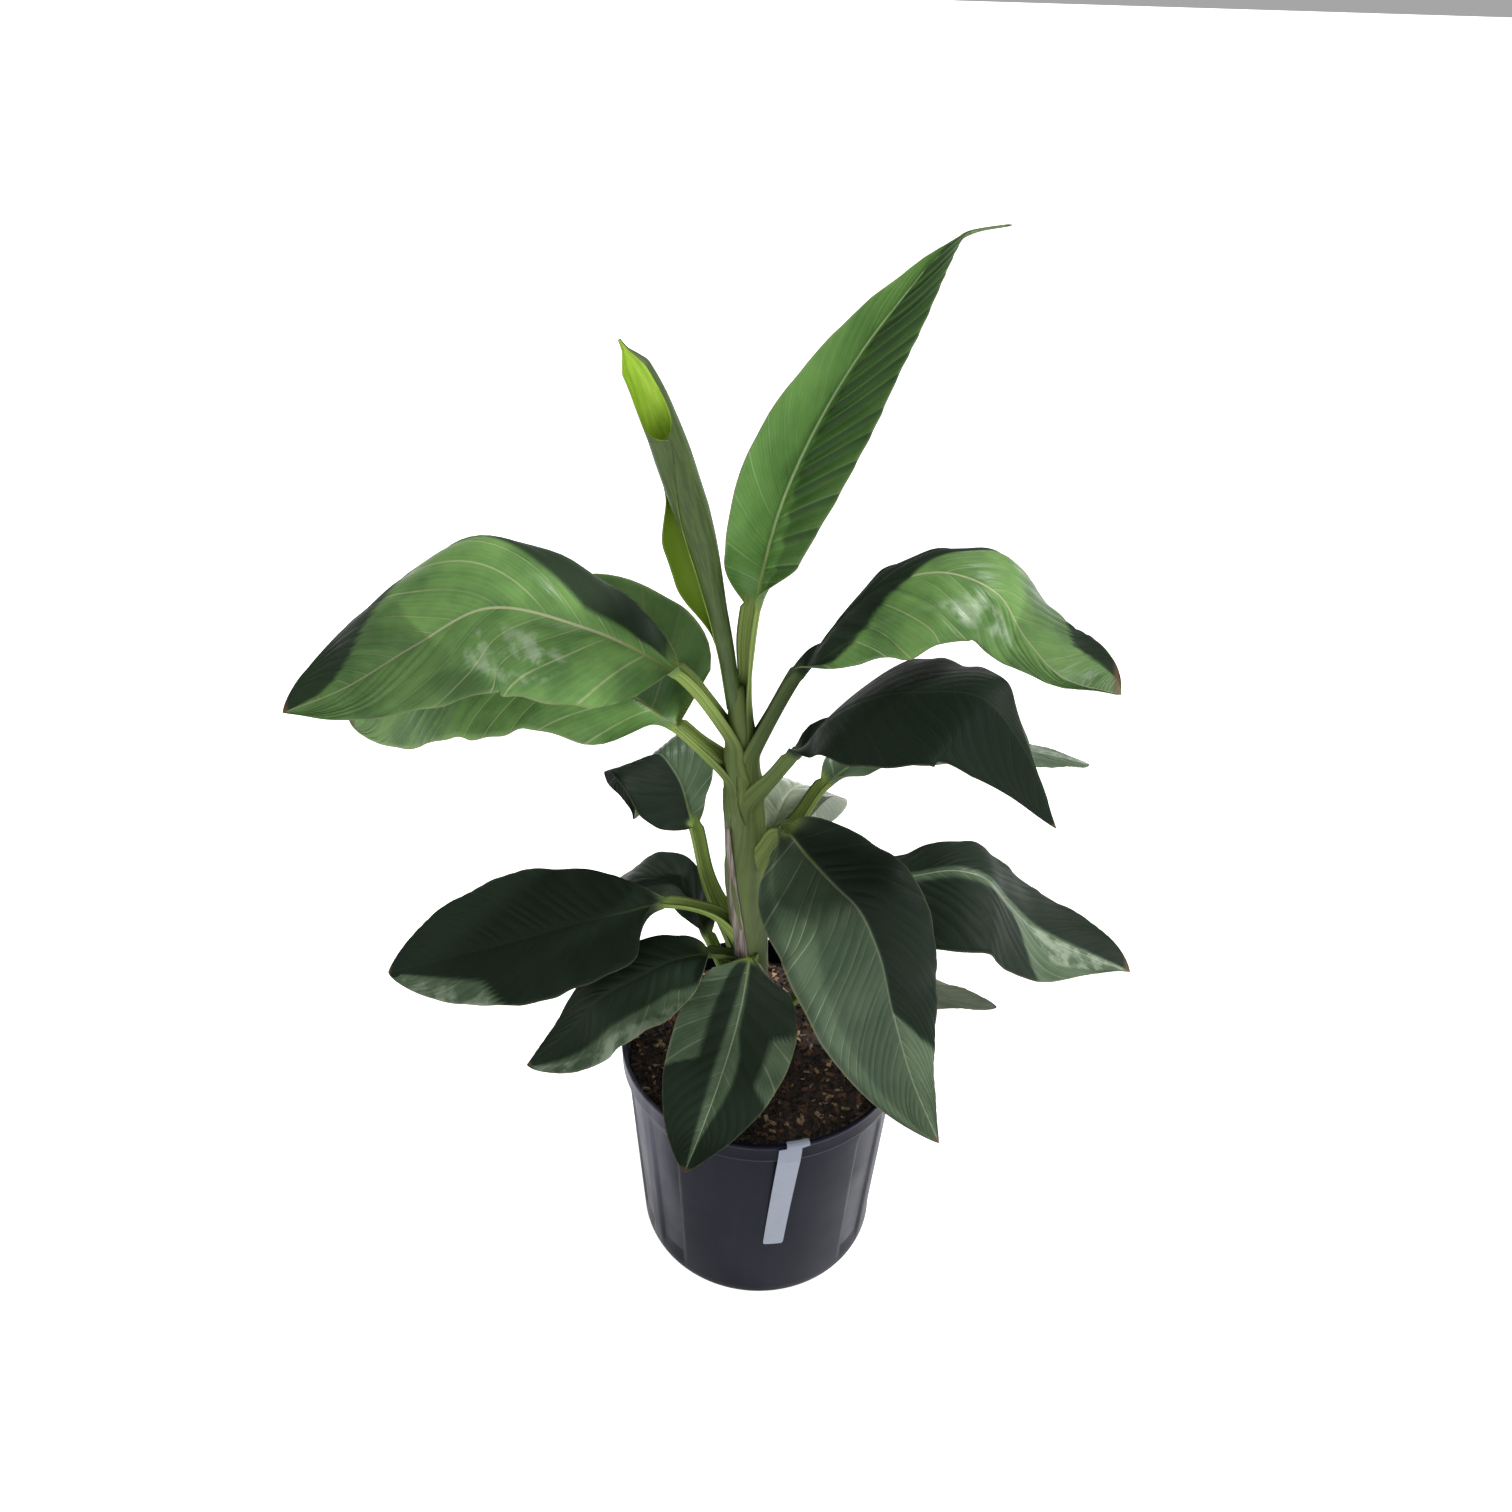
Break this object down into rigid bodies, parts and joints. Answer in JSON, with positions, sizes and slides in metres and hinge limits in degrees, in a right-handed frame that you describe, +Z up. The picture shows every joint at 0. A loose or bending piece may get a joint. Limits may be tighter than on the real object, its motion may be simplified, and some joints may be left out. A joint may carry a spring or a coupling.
{
  "type": "potted banana plant",
  "caption": "Young banana plant with one sheathed stem, broad arching leaves, a rolled new leaf and an upright leaf, in a round black plastic nursery pot.",
  "frame": {"origin": "centre of the pot's flat underside", "axes": "+Z up along the pot's axis; -Y towards the side of the pot that carries the plant tag; +X to the right seen from there"},
  "size_m": [0.7346, 0.3389, 0.9574],
  "materials": {
    "pot_plastic": "semi-gloss moulded black polypropylene",
    "potting_mix": "loose dark bark and peat mix",
    "tag": "smooth white strip",
    "stem": "smooth fleshy leaf sheaths, satin",
    "leaf": "waxy green leaf, satin sheen"
  },
  "bodies": {
    "root": {"pot": "pot_plastic", "soil": "potting_mix", "plant_tag": "tag", "pseudostem": "stem", "leaf_rolled": "leaf", "leaf_upright": "leaf", "leaf_left_high": "leaf", "leaf_back_left": "leaf", "leaf_right_high": "leaf", "leaf_right_mid": "leaf", "leaf_right_back": "leaf", "leaf_back": "leaf", "leaf_left_mid": "leaf", "leaf_left_low": "leaf", "leaf_left_low_back": "leaf", "leaf_left_front": "leaf", "leaf_front": "leaf", "leaf_right_front": "leaf", "leaf_right_low": "leaf", "leaf_right_low_back": "leaf"}
  },
  "joints": []
}
